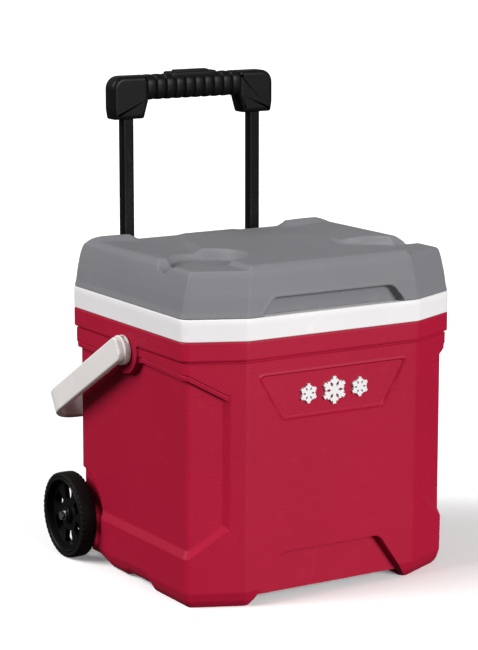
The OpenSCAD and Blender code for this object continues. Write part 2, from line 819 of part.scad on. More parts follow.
module tyre_right() {
    color([0.1, 0.1, 0.1]) at_wheel(0) tyre();
}

body_shell();
body_liner();
body_foam();
front_emblem();
tow_housing();
housing_screws();
guide_bush_left();
guide_bush_right();
hinge_brackets();
hinge_pins();
hinge_screws();
bail_pivot_left();
bail_pivot_right();
axle();
axle_spacers();
push_nuts();
lid_shell();
lid_liner();
lid_foam();
lid_gasket();
hinge_leaves();
leaf_screws();
bail_handle();
tow_tube_left();
tow_tube_right();
grip_front();
grip_rear();
grip_screws();
tube_plugs();
button_spring();
tow_button();
link_yoke();
link_rods();
lock_pin_left();
lock_pin_right();
wheel_left();
tyre_left();
wheel_right();
tyre_right();
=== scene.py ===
"""Looks of a wheeled cooler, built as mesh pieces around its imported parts."""

import json
import math

import bmesh
import bpy
import numpy as np
from bpy.props import FloatProperty, FloatVectorProperty, IntProperty, PointerProperty
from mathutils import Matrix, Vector


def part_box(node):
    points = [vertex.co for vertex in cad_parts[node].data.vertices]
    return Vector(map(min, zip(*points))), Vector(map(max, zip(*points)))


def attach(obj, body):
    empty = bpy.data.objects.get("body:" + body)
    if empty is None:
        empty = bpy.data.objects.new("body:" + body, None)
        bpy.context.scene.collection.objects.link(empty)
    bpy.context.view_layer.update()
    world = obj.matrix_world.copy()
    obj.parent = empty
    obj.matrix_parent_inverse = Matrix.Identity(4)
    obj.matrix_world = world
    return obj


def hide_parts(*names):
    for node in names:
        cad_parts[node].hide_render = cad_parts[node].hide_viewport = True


bl_info = {
    "name": "Wheeled cooler looks",
    "version": (1, 0, 0),
    "blender": (4, 5, 0),
    "location": "View3D > Sidebar > Cooler",
    "description": "Builds the visible pieces of a wheeled cooler around its packed parts",
    "category": "Object",
}

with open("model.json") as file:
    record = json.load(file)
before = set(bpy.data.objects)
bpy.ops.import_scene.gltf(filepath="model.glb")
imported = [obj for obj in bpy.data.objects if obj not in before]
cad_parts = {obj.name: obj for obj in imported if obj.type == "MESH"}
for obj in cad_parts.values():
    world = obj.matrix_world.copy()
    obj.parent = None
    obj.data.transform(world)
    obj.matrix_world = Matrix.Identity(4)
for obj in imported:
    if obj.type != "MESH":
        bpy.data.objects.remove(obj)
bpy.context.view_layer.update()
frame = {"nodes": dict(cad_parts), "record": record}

MM = 0.001
LOW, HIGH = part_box("body_shell")
FRONT_Y = LOW.y
RIM_X = HIGH.x
RIM_D = HIGH.y - LOW.y
LID_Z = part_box("lid_shell")[0].z
AXLE_Y = sum(b.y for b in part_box("axle")) / 2 - FRONT_Y
AXLE_Z = sum(b.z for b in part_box("axle")) / 2
PIVOT_Y = sum(b.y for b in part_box("bail_pivot_left")) / 2 - FRONT_Y
PIVOT_Z = sum(b.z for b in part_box("bail_pivot_left")) / 2
TUBE_Y = sum(b.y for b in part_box("tow_tube_left")) / 2 - FRONT_Y
MIDDLE = np.array([0.0, RIM_D / 2])
NOTCH_Y = AXLE_Y - 17 * MM
FOOT_RECESS_TOP = 56.5 * MM
PLAQUE_LOW, PLAQUE_TOP = 210 * MM, 258.5 * MM
FINGER_RECESS_TOP = 344.5 * MM
SHARP_ANGLE = 38  # degrees
MERGE_GAP = 0.02 * MM

# Insets of the casing at each height, in mm: height, side, front, back, facet
CASING = np.array([
    [0, 13, 13.8, 13, 13.5], [3, 10.2, 11, 10.2, 10.7], [8, 7.2, 8, 7.2, 7.6], [17.5, 4.5, 5.3, 4.5, 5],
    [262.5, 2.4, 2.4, 2.4, 2.4], [276, 2.4, 2.4, 2.4, 2.4], [276.6, 4, 4, 4, 4], [278, 4, 4, 4, 4],
    [278.6, 0.8, 0.8, 0.8, 0.8], [279.6, 0, 0, 0, 0], [299.2, 0, 0, 0, 0], [300, 0.7, 0.7, 0.7, 0.7],
]) * MM

# Insets of the lid at each height, in mm: height, side, front, back, facet
LID = np.array([
    [325.4, 1.4, 1.4, 1.4, 1.4], [326.2, 0.8, 0.8, 0.8, 0.8], [332, 2.8, 1.6, 1.8, 2], [347, 5.6, 3, 3.2, 4],
    [359, 8.5, 4.8, 5, 6.4], [369, 11.4, 6.2, 7, 8.4], [373.4, 13, 7.2, 8.4, 9.8], [376, 15.9, 8.2, 10, 11.4],
    [379, 19.4, 9.8, 13, 13.4], [381, 23, 12, 16, 16], [382.4, 28, 15, 20, 19],
]) * MM


# ---- numbers ----


def smooth(t):
    """Eases from 0 to 1 as t goes from 0 to 1."""
    t = np.clip(t, 0.0, 1.0)
    return t * t * (3 - 2 * t)


def blend(a, b, share):
    """Goes from a to b as share goes from 0 to 1."""
    return a + (b - a) * share


def curve(at, places, values):
    """Reads a broken line of values over places, both in mm, at each spot."""
    return np.interp(at, np.array(places) * MM, np.array(values) * MM)


def soft_min(a, b, reach):
    """The smaller of two heights, with their crossing rounded over reach."""
    share = np.clip(0.5 + 0.5 * (b - a) / reach, 0.0, 1.0)
    return blend(b, a, share) - reach * share * (1 - share)


def steps(stops):
    """Heights in mm from (height, spacing) pairs, each spacing used up to the next height."""
    out = []
    for (low, gap), (high, _) in zip(stops, stops[1:]):
        count = max(1, round((high - low) / gap))
        out.extend(low + (high - low) * i / count for i in range(count))
    return np.array(out + [stops[-1][0]]) * MM


def corner_arc(before, corner, after, radius, count):
    """Points of the arc that rounds a corner between its two neighbours."""
    u, v = before - corner, after - corner
    u, v = u / np.linalg.norm(u), v / np.linalg.norm(v)
    half = math.acos(np.clip(u @ v, -1, 1)) / 2
    bisector = (u + v) / np.linalg.norm(u + v)
    centre = corner + bisector * radius / math.sin(half)
    start, end = (corner + way * radius / math.tan(half) - centre for way in (u, v))
    turn = math.atan2(start[0] * end[1] - start[1] * end[0], start @ end)
    angles = math.atan2(start[1], start[0]) + turn * np.linspace(0, 1, count)
    return centre + radius * np.stack([np.cos(angles), np.sin(angles)], 1)


def rounded_loop(corners, radius, arc_count, side_counts):
    """A closed loop with rounded corners and a fixed number of points on each side."""
    corners = [np.array(c, float) for c in corners]
    size = len(corners)
    arcs = [corner_arc(corners[i - 1], corners[i], corners[(i + 1) % size], radius, arc_count)
            for i in range(size)]
    out = []
    for i in range(size):
        out.append(arcs[i])
        ends = arcs[i][-1], arcs[(i + 1) % size][0]
        share = np.linspace(0, 1, side_counts[i] + 2)[1:-1, None]
        out.append(blend(ends[0], ends[1], share))
    return np.concatenate(out)


def rim_loop(side, front, back, facet, props):
    """The rim outline moved in by its own distance at the sides, front, back and facets."""
    angle = math.atan2(props.facet_back, props.facet_in)
    x = RIM_X - side
    y = props.facet_back + (facet - math.sin(angle) * side) / math.cos(angle)
    xf = RIM_X - (facet - math.cos(angle) * (front - props.facet_back)) / math.sin(angle)
    corners = [(x, RIM_D - back), (-x, RIM_D - back), (-x, y), (-xf, front), (xf, front), (x, y)]
    counts = [int(share * props.columns) for share in (1.1, 1.6, 0.5, 1.4, 0.5, 1.6)]
    return rounded_loop(corners, max(4 * MM, props.rim_radius - side), 7, counts)


def rays_to_slab(loop, half_x, y0, y1, radius):
    """Points on a rounded rectangle, each in the direction of one point of a loop round the middle."""
    way = loop - MIDDLE
    way = way / np.linalg.norm(way, axis=1)[:, None]
    centre, half = np.array([0, (y0 + y1) / 2]), np.array([half_x, (y1 - y0) / 2])
    near, far = np.zeros(len(loop)), np.full(len(loop), 0.4)
    for _ in range(26):
        mid = (near + far) / 2
        q = np.abs(MIDDLE + way * mid[:, None] - centre) - half + radius
        outside = np.hypot(*np.maximum(q, 0).T) + np.minimum(q.max(1), 0) - radius > 0
        near, far = np.where(outside, near, mid), np.where(outside, mid, far)
    return MIDDLE + way * near[:, None]


# ---- meshes ----


def grid_faces(rows, columns, wrap=True):
    """Quads between neighbouring rows of points, closed round the columns if wrap is set."""
    index = np.arange(rows * columns).reshape(rows, columns)
    if wrap:
        index = np.concatenate([index, index[:, :1]], 1)
    return np.stack([index[:-1, :-1], index[:-1, 1:], index[1:, 1:], index[1:, :-1]], 2).reshape(-1, 4)


def in_frame(points):
    """Puts points measured from the rim's front face into the shared frame."""
    return points.reshape(-1, 3) + [0, FRONT_Y, 0]


def make_piece(name, parts, body, slot, nodes, sharp=SHARP_ANGLE):
    """Joins (points, quads) parts into one mesh object that rides a body and stands for CAD nodes."""
    points = np.concatenate([in_frame(np.asarray(p)) for p, _ in parts])
    starts = np.cumsum([0] + [np.asarray(p).reshape(-1, 3).shape[0] for p, _ in parts])
    faces = np.concatenate([np.asarray(f) + s for (_, f), s in zip(parts, starts)])
    mesh = bpy.data.meshes.new(name)
    mesh.vertices.add(len(points))
    mesh.vertices.foreach_set("co", points.astype(np.float32).ravel())
    mesh.loops.add(faces.size)
    mesh.loops.foreach_set("vertex_index", faces.astype(np.int32).ravel())
    mesh.polygons.add(len(faces))
    mesh.polygons.foreach_set("loop_start", np.arange(0, faces.size, 4, dtype=np.int32))
    mesh.update(calc_edges=True)
    work = bmesh.new()
    work.from_mesh(mesh)
    bmesh.ops.remove_doubles(work, verts=work.verts, dist=MERGE_GAP)
    bmesh.ops.dissolve_degenerate(work, edges=work.edges, dist=0.01 * MM)
    bmesh.ops.recalc_face_normals(work, faces=work.faces)
    work.to_mesh(mesh)
    work.free()
    mesh.validate()
    mesh.shade_smooth()
    mesh.set_sharp_from_angle(angle=math.radians(sharp))
    piece = bpy.data.objects.new(name, mesh)
    bpy.context.scene.collection.objects.link(piece)
    mesh.materials.append(material(slot))
    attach(piece, body)
    if nodes:
        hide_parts(*nodes)
    return piece


def lathe(profile, centre, turns=96, bend=None):
    """Turns a profile of (x, radius) about an axle along X through centre (y, z)."""
    profile = np.asarray(profile, float)
    angles = np.linspace(0, 2 * math.pi, turns, endpoint=False)
    x = np.repeat(profile[:, :1], turns, 1)
    r = np.repeat(profile[:, 1:], turns, 1)
    if bend:
        x, r = bend(x, r, angles[None, :])
    points = np.stack([x, centre[0] + r * np.sin(angles), centre[1] + r * np.cos(angles)], 2)
    return points, grid_faces(len(profile), turns)


def rounded_box(low, high, radius, cells=6):
    """A box with rounded edges, as six joined grids."""
    low, high = np.array(low, float), np.array(high, float)
    centre, half = (low + high) / 2, (high - low) / 2
    radius = min(radius, *half)
    parts = []
    t = np.linspace(-1, 1, 2 * cells + 1)
    for axis in range(3):
        for sign in (-1, 1):
            u, v = np.meshgrid(t, t, indexing="ij")
            cube = np.zeros(u.shape + (3,))
            cube[..., axis] = sign
            cube[..., (axis + 1) % 3] = u * sign
            cube[..., (axis + 2) % 3] = v
            # cells crowd into the rounded edges, so that each grid's middle is one flat face
            spread = np.sign(cube) * np.where(np.abs(cube) > 0.5,
                              half - radius + (np.abs(cube) - 0.5) * 2 * radius,
                              np.abs(cube) * 2 * (half - radius))
            core = np.clip(spread, -(half - radius), half - radius)
            push = spread - core
            length = np.linalg.norm(push, axis=-1, keepdims=True)
            spot = core + push / np.where(length == 0, 1, length) * radius
            parts.append((centre + spot, grid_faces(len(t), len(t), False)))
    return parts


def sweep(centres, across, up, section, scale):
    """Carries a closed section of (across, up) points along a path, with a scale pair at each station."""
    section = np.asarray(section, float)
    points = (centres[:, None, :] + across[:, None, :] * (section[None, :, :1] * scale[:, None, :1])
              + up[:, None, :] * (section[None, :, 1:] * scale[:, None, 1:]))
    ends = [np.repeat(centres[i][None, None, :], len(section), 1) for i in (0, -1)]
    points = np.concatenate([ends[0], points, ends[1]])
    return points, grid_faces(len(points), len(section))


# ---- shading ----


class Wire:
    """One shader output that can be used in arithmetic."""

    def __init__(self, tree, socket):
        self.tree, self.socket = tree, socket

    def _math(self, kind, *values):
        return add_node(self.tree, "ShaderNodeMath", {"operation": kind}, dict(enumerate(values)))

    def __add__(self, other):
        return self._math("ADD", self, other)

    def __radd__(self, other):
        return self._math("ADD", other, self)

    def __mul__(self, other):
        return self._math("MULTIPLY", self, other)

    def __rmul__(self, other):
        return self._math("MULTIPLY", other, self)

    def above(self, edge, width):
        """0 below edge, 1 above edge + width."""
        values = {"Value": self, "From Min": edge, "From Max": edge + width}
        return add_node(self.tree, "ShaderNodeMapRange", {"interpolation_type": "SMOOTHSTEP"}, values)


def add_node(tree, kind, settings, values, output=0):
    """Adds a shader node with settings and with inputs that are constants or wires."""
    made = tree.nodes.new(kind)
    for name, value in settings.items():
        setattr(made, name, value)
    for key, value in values.items():
        if isinstance(value, Wire):
            tree.links.new(value.socket, made.inputs[key])
        else:
            made.inputs[key].default_value = value
    return Wire(tree, made.outputs[output])


def noise(tree, place, scale, detail=2.0):
    return add_node(tree, "ShaderNodeTexNoise", {}, {"Vector": place, "Scale": scale, "Detail": detail}, "Fac")


def mix_colour(tree, share, a, b):
    return add_node(tree, "ShaderNodeMix", {"data_type": "RGBA"}, {0: share, 6: (*a, 1), 7: (*b, 1)}, 2)


def roughen(tree, shader, strength, distance, height):
    """Raises a pattern on the surface."""
    values = {"Strength": strength, "Distance": distance, "Height": height}
    bump = add_node(tree, "ShaderNodeBump", {}, values)
    tree.links.new(bump.socket, shader.inputs["Normal"])


def moulded(tree, shader, place, colour, rough, grain, size, sheen):
    """Moulded plastic: a pebble grain, slow drifts in colour, and scuffs that catch the light."""
    drift = noise(tree, place, 7.0, 3.0)
    scuff = noise(tree, place, 55.0, 8.0).above(0.58, 0.16)
    cells = add_node(tree, "ShaderNodeTexVoronoi", {"feature": "SMOOTH_F1"},
                     {"Vector": place, "Scale": 1 / size, "Smoothness": 0.6}, "Distance")
    pebbles = cells * 0.7 + noise(tree, place, 0.6 / size) * 0.6
    light = tuple(min(1.0, c * 1.1 + 0.001) for c in colour)
    dark = tuple(c * 0.9 for c in colour)
    tint = mix_colour(tree, drift * 0.75 + scuff * 0.25, dark, light)
    tree.links.new(tint.socket, shader.inputs["Base Color"])
    tree.links.new((rough - 0.05 + scuff * 0.06 + pebbles * 0.1).socket, shader.inputs["Roughness"])
    roughen(tree, shader, grain, size * 0.35, pebbles)
    shader.inputs["Specular IOR Level"].default_value = sheen


def brushed(tree, shader, place, colour, rough):
    """Bright metal with fine lines round it."""
    stretch = add_node(tree, "ShaderNodeMapping", {}, {"Vector": place, "Scale": (2400.0, 160.0, 160.0)})
    lines = noise(tree, stretch, 1.0, 2.0)
    stain = noise(tree, place, 90.0, 4.0)
    tint = mix_colour(tree, stain, tuple(c * 0.82 for c in colour), colour)
    tree.links.new(tint.socket, shader.inputs["Base Color"])
    tree.links.new((rough + lines * 0.12).socket, shader.inputs["Roughness"])
    roughen(tree, shader, 0.12, 0.0001, lines)
    shader.inputs["Metallic"].default_value = 1.0


def foamed(tree, shader, place, colour):
    """Rigid foam with open cells on its skin."""
    cells = add_node(tree, "ShaderNodeTexVoronoi", {}, {"Vector": place, "Scale": 520.0}, "Distance")
    patches = noise(tree, place, 24.0, 4.0)
    tint = mix_colour(tree, patches * 0.6 + cells * 0.5, tuple(c * 0.8 for c in colour), colour)
    tree.links.new(tint.socket, shader.inputs["Base Color"])
    tree.links.new((0.85 + patches * 0.1).socket, shader.inputs["Roughness"])
    roughen(tree, shader, 0.6, 0.0008, cells)


FINISHES = {
    "red_shell": (moulded, (0.315, 0.005, 0.027), 0.46, 0.5, 0.0011, 0.14),
    "white_liner": (moulded, (0.66, 0.64, 0.645), 0.36, 0.06, 0.0016, 0.25),
    "lid_grey": (moulded, (0.156, 0.154, 0.165), 0.5, 0.5, 0.0011, 0.2),
    "handle_grey": (moulded, (0.65, 0.625, 0.605), 0.4, 0.08, 0.0016, 0.25),
    "black_plastic": (moulded, (0.0035, 0.0035, 0.004), 0.36, 0.3, 0.001, 0.1),
    "black_tube": (moulded, (0.003, 0.003, 0.003), 0.26, 0.05, 0.0012, 0.15),
    "tyre_black": (moulded, (0.005, 0.0035, 0.0035), 0.6, 0.3, 0.0016, 0.1),
    "seal_grey": (moulded, (0.42, 0.42, 0.43), 0.55, 0.1, 0.001, 0.3),
    "steel": (brushed, (0.62, 0.62, 0.63), 0.22),
    "foam": (foamed, (0.80, 0.68, 0.38)),
}


def material(slot):
    """The material of a slot, made the first time it is asked for."""
    name = f"{slot}_finish"
    if name in bpy.data.materials:
        return bpy.data.materials[name]
    made = bpy.data.materials.new(name)
    made.use_nodes = True
    tree = made.node_tree
    place = add_node(tree, "ShaderNodeTexCoord", {}, {}, "Object")
    recipe, colour, *rest = FINISHES[slot]
    recipe(tree, tree.nodes["Principled BSDF"], place, colour, *rest)
    return made


# ---- settings ----


def length(name, description, default):
    """A size in metres that a user may change."""
    return FloatProperty(name=name, description=description, default=default, unit="LENGTH")


class CoolerRimSettings(bpy.types.PropertyGroup):
    """The outline shared by the casing, the rim and the lid."""

    facet_back: length("Facet back", "How far each front facet runs along the side", 0.0303)
    facet_in: length("Facet in", "How far each front facet runs along the front", 0.0653)
    rim_radius: length("Rim radius", "Rounding of the rim's corners", 0.014)
    columns: IntProperty(name="Columns", description="Mesh columns per 160 mm of a side", default=130, min=20)


class CoolerBodySettings(bpy.types.PropertyGroup):
    """The casing's pockets, feet and bosses."""

    pocket_inset: length("Pocket inset", "Depth of the side pocket from the rim", 0.0082)
    pocket_x: length("Pocket edge", "Where the side pocket starts on the front facet", 0.129)
    boss_radius: length("Boss radius", "Radius of the carry handle's boss", 0.0284)
    foot_recess_y: length("Foot recess", "How far back the front recess goes", 0.017)
    plaque_y: length("Plaque floor", "How far back the front plaque's floor is", 0.0039)
    well_x: length("Wheel well", "Distance of the wheel well's wall from the middle", 0.1645)
    well_radius: length("Well radius", "Radius of the wheel well", 0.057)
    tub_x: length("Tub half width", "Half width of the tub at its top", 0.143)
    tub_floor: length("Tub floor", "Height of the tub's floor", 0.048)


class CoolerLidSettings(bpy.types.PropertyGroup):
    """The lid's drink holders, steps and finger recess."""

    cup_x: length("Cup across", "Distance of each drink holder from the middle", 0.107)
    cup_y: length("Cup back", "Distance of each drink holder from the front", 0.0966)
    cup_z: length("Cup floor", "Height of the drink holders' floor", 0.3684)
    cup_radius: length("Cup radius", "Radius of the drink holders' floor", 0.0415)
    plateau_z: length("Plateau", "Height of the raised middle at its front", 0.3807)
    wing_z: length("Wing", "Height of the lower areas beside the plateau", 0.3758)
    recess_y: length("Finger recess", "How far back the finger recess goes", 0.014)
    rings: IntProperty(name="Rings", description="Mesh rings across the lid's top", default=105, min=20)


class CoolerHandleSettings(bpy.types.PropertyGroup):
    """The carry handle and the tow handle's grip."""

    strap_width: length("Strap width", "Width of the carry handle's strap", 0.0285)
    strap_thickness: length("Strap thickness", "Thickness of the carry handle's strap", 0.008)
    strap_reach: length("Strap reach", "Pivot to the outside of the cross bar", 0.209)
    strap_corner: length("Strap corner", "Outside radius of the strap's corners", 0.047)
    hang: FloatProperty(name="Hang", description="Angle of the carry handle below level",
                        default=math.radians(30), subtype="ANGLE")
    hub_radius: length("Hub radius", "Radius of the carry handle's hubs", 0.0169)
    grip_depth: length("Grip depth", "Depth of the tow handle's grip", 0.024)
    rib_pitch: length("Rib pitch", "Distance between the grip's ribs", 0.013)


class CoolerWheelSettings(bpy.types.PropertyGroup):
    """The wheels."""

    tread: length("Tread", "Thickness of the tyre", 0.006)
    openings: IntProperty(name="Openings", description="Openings in the wheel's web", default=6, min=3)
    grooves: IntProperty(name="Grooves", description="Grooves round the tyre's shoulders", default=48, min=12)


class CoolerStageSettings(bpy.types.PropertyGroup):
    """The floor, the lights and the camera."""

    target: FloatVectorProperty(name="Target", description="What the camera looks at",
                                default=(-0.036168, -0.028921, 0.287025), subtype="XYZ", unit="LENGTH")
    distance: length("Distance", "Distance of the camera from its target", 2.6364)
    azimuth: FloatProperty(name="Azimuth", description="Turn of the camera to the object's right",
                           default=math.radians(-31.466), subtype="ANGLE")
    elevation: FloatProperty(name="Elevation", description="Height angle of the camera",
                             default=math.radians(10.965), subtype="ANGLE")
    lens: FloatProperty(name="Lens", description="Focal length in mm", default=127.44)
    sky: FloatProperty(name="Sky", description="Strength of the light from all round", default=0.26)
    table: FloatProperty(name="Table", description="Strength of the light from the floor", default=0.15)
    key: FloatProperty(name="Key", description="Strength of the soft light in front", default=4.0)
    side: FloatProperty(name="Side", description="Strength of the soft light on the left", default=3.9)


# ---- body ----


def ground(x, y):
    """Height of the casing's underside over each spot of the floor."""
    side = curve(y, [113, 122, 165, 178, 212, 240, 310], [0, 6, 6, 2, 2, 10, 10])
    return np.maximum(side, 9 * MM * smooth((102.5 * MM - np.abs(x)) / (3 * MM)))


def pocket_edges(x, y):
    """Heights of the side pocket's top and bottom edges over each spot of the outline."""
    across = np.abs(x)
    top_side = curve(y, [30, 125, 159, 300], [264, 268, 260, 260])
    top_front = curve(across, [132, 171], [241, 264])
    low = curve(across, [132, 170], [93, 62])
    return np.where(across > 171 * MM, top_side, top_front), low


def pocket_share(x, y, z, props):
    """How deep each spot lies in the side pocket, from 0 at its edge to 1 at its panel."""
    top, low = pocket_edges(x, y)
    from_top = np.interp(top - z, np.array([0, 0.8, 1.7, 6.6, 7.4]) * MM, [0, 0.34, 0.14, 0.2, 1])
    from_low = np.clip((z - low + 5 * MM) / (9.5 * MM), 0, 1)
    from_edge = np.clip((np.abs(x) - props.pocket_x) / (7 * MM), 0, 1)
    return np.minimum(np.minimum(from_top, from_low), from_edge)


def follow_pocket(x, y, z):
    """Bends rows of equal height so that they run along the side pocket's slanted edges."""
    top, low = pocket_edges(x, y)
    beside = smooth((np.abs(x) - 110 * MM) / (20 * MM))
    near_top = np.interp(z, np.array([200, 248, 262, 276]) * MM, [0, 1, 1, 0])
    near_low = np.interp(z, np.array([40, 60, 80, 130]) * MM, [0, 1, 1, 0])
    return z + beside * (near_top * (top - 258 * MM) + near_low * (low - 70 * MM))


def front_half_width(z):
    """Half width of the foot recess and of the plaque at each height, joined in between."""
    return curve(z, [-1, 56.5, 62, 204, 210, 258.5], [106, 64, 64, 64, 66, 95.5])


def follow_front(x, y, z):
    """Slides the front's columns so that they run along the slanted sides of recess and plaque."""
    flat = np.isclose(y, y.min(1, keepdims=True), atol=0.001 * MM)
    end = np.where(flat, np.abs(x), 0).max(1, keepdims=True)
    wide = np.minimum(front_half_width(z), end - 2 * MM)
    across, share = np.abs(x), 80 * MM
    beyond = wide + (across - share) * (end - wide) / (end - share)
    moved = np.where(across < share, across * wide / share, beyond)
    return np.where(flat, np.sign(x) * moved, x)


def casing_points(rim, props):
    """The casing's skin from the collar's top down to the middle of its underside."""
    heights = steps([(0, 1.3), (12, 1.5), (48, 1), (78, 2.2), (100, 4), (196, 1.5), (206, 0.6), (214, 1.2),
                     (248, 0.5), (260, 1.1), (300, 1)])
    insets = [np.interp(heights, CASING[:, 0], CASING[:, k]) for k in (1, 2, 3, 4)]
    loops = np.stack([rim_loop(*[i[j] for i in insets], rim) for j in range(len(heights))])
    x, y = loops[..., 0], loops[..., 1]
    z = np.repeat(heights[:, None], loops.shape[1], 1)
    x = follow_front(x, y, z)
    z = follow_pocket(x, y, z)
    ahead = np.roll(loops, -1, 1) - np.roll(loops, 1, 1)
    inward = np.stack([-ahead[..., 1], ahead[..., 0]], 2)
    inward /= np.linalg.norm(inward, axis=2)[..., None]
    local = np.repeat(insets[3][:, None], loops.shape[1], 1)

    # the pocket and the boss move the skin along its own normal
    depth = (props.pocket_inset - local) * pocket_share(x, y, z, props) * (z < 277 * MM)
    off_boss = np.hypot(y - PIVOT_Y, z - PIVOT_Z)
    near_side = np.abs(x) > RIM_X - 20 * MM
    boss = smooth((props.boss_radius + 0.6 * MM - off_boss) / (1.6 * MM)) * near_side
    depth = blend(depth, -local, boss * (z < 279 * MM))
    x, y = x + inward[..., 0] * depth, y + inward[..., 1] * depth

    # the front's foot recess and plaque move it straight back
    front = y < 22 * MM
    across = np.abs(x)
    wide = front_half_width(z)
    into = soft_min((wide - across) * 0.81, FOOT_RECESS_TOP - z, 5 * MM) + 0.6 * MM
    y = np.where(front & (z < 60 * MM), blend(y, props.foot_recess_y, smooth(into / (2.6 * MM))), y)
    into = soft_min((wide - across) * 0.854, PLAQUE_TOP - z, 6 * MM)
    into = soft_min(into, z - PLAQUE_LOW, 6 * MM) + 1 * MM
    bead = 0.8 * MM * np.exp(-((into + 0.6 * MM) / (0.9 * MM)) ** 2)
    y = np.where(front & (z > 204 * MM), blend(y - bead, props.plaque_y, smooth(into / (1.2 * MM))), y)

    # the wheel wells and the rear notch cut it square
    off_axle = np.hypot(y - AXLE_Y, z - AXLE_Z)
    well = smooth((props.well_radius - off_axle) / (1.2 * MM)) * (np.abs(x) > props.well_x)
    x = blend(x, np.sign(x) * props.well_x, well)
    notch = smooth((72 * MM - z) / (1.5 * MM)) * (y > NOTCH_Y)
    y = blend(y, NOTCH_Y, notch)

    lift = ground(x[0], y[0])
    z = np.where(z < 40 * MM, lift + z * (40 * MM - lift) / (40 * MM), z)
    skin = np.stack([x, y, z], 2)
    lip = skin[-1] * 1.0
    lip[:, :2] = rim_loop(4 * MM, 4 * MM, 4 * MM, 4 * MM, rim)
    tuck = lip - [0, 0, 6 * MM]
    under = []
    for share in np.linspace(0.012, 0.985, 42):
        ring = skin[0] * 1.0
        ring[:, :2] = blend(ring[:, :2], MIDDLE, share)
        ring[:, 2] = ground(ring[:, 0], ring[:, 1])
        under.append(ring)
    hub = np.repeat(np.array([[*MIDDLE, ground(0, MIDDLE[1])]]), skin.shape[1], 0)
    return np.concatenate([[tuck, lip], skin[::-1], under, [hub]])


def liner_points(rim, props):
    """The white rim band, its top, and the tub down to its floor."""
    outer = [(6, 295), (4, 300.4), (0.7, 300.4), (0, 301.2), *[(0, h) for h in (306, 312, 318)],
             (0, 324), (0.25, 324.6), (0.9, 325)]
    rings = []
    for inset, height in outer:
        loop = rim_loop(*[inset * MM] * 4, rim)
        rings.append(np.column_stack([loop, np.full(len(loop), height * MM)]))
    edge = rings[-1]
    loop = edge[:, :2]
    mouth = rays_to_slab(loop, props.tub_x + 3 * MM, 29 * MM, 261 * MM, 26 * MM)
    for share in np.linspace(0, 1, 8)[1:]:
        rings.append(np.column_stack([blend(loop, mouth, share), edge[:, 2]]))
    slopes = [(2, 324.6), (1, 323.9), (0.3, 322.8), (0, 321.5)]
    slopes += [(-4 * (321.5 - h) / 259.5, h) for h in np.linspace(315, 62, 24)]
    slopes += [(-4.3, 57), (-5, 53), (-6.5, 50), (-9, 48.4), (-12, 48)]
    for grow, height in slopes:
        ring = rays_to_slab(loop, props.tub_x + grow * MM, (32 - grow) * MM, (258 + grow) * MM, 24 * MM)
        rings.append(np.column_stack([ring, np.full(len(ring), height * MM)]))
    base = rings[-1]
    base[:, 2] = props.tub_floor
    for share in np.linspace(0, 1, 16)[1:]:
        ring = base * 1.0
        ring[:, :2] = blend(base[:, :2], MIDDLE, share)
        rings.append(ring)
    return np.stack(rings)


# ---- lid ----


def lid_top(x, y, props):
    """Height of the lid's top over each spot, before its edges are rounded."""
    across = np.abs(x)
    along = np.clip((y - 8 * MM) / (266.6 * MM), 0, 1)
    plateau = props.plateau_z - 4.3 * MM * along + 2.4 * MM * np.sin(math.pi * along)
    wing = props.wing_z - 0.9 * MM * np.clip((y - 110 * MM) / (162 * MM), 0, 1)
    wing = wing + 3.6 * MM * smooth((across - 96 * MM) / (64 * MM)) * smooth((y - 96 * MM) / (12 * MM))
    # the plateau ends in a curved sloping step
    edge = curve(y, [-5, 60, 96, 120, 148, 161, 199, 241, 262, 300],
                 [101, 101, 101, 97, 82, 77, 68, 48, 37, 20])
    width = curve(y, [60, 110, 150, 250], [7, 9, 16, 14])
    top = blend(wing, plateau, smooth((edge + width - across) / width))
    bump = smooth((y - 250 * MM) / (24 * MM)) * smooth((across - 94 * MM) / (18 * MM))
    top = top + 7 * MM * bump
    # the middle falls away behind, between the two rear bumps
    fall = props.plateau_z - 4.3 * MM - 1.52 * (y - RIM_D + 15.4 * MM)
    fall = fall + 60 * MM * smooth((across - 106 * MM) / (8 * MM))
    top = soft_min(top, fall, 2 * MM)
    # each rail ends in a facet, a notch and the front pad
    notch = curve(y, [40, 72, 87, 101, 112, 130], [380, 376, 366.4, 369.6, 379, 390])
    notch = np.maximum(notch, props.cup_z - 0.12 * np.maximum(across - 150 * MM, 0))
    top = soft_min(top, notch + 30 * MM * smooth((146 * MM - across) / (6 * MM)), 1 * MM)
    from_cup = np.hypot(across - props.cup_x, y - props.cup_y)
    wall = props.cup_z + np.maximum(from_cup - props.cup_radius, 0) * 3.0
    wall = np.maximum(wall, props.cup_z + 0.0012 * smooth((from_cup - props.cup_radius + 2 * MM) / (2 * MM)))
    return soft_min(top, wall, 0.9 * MM)


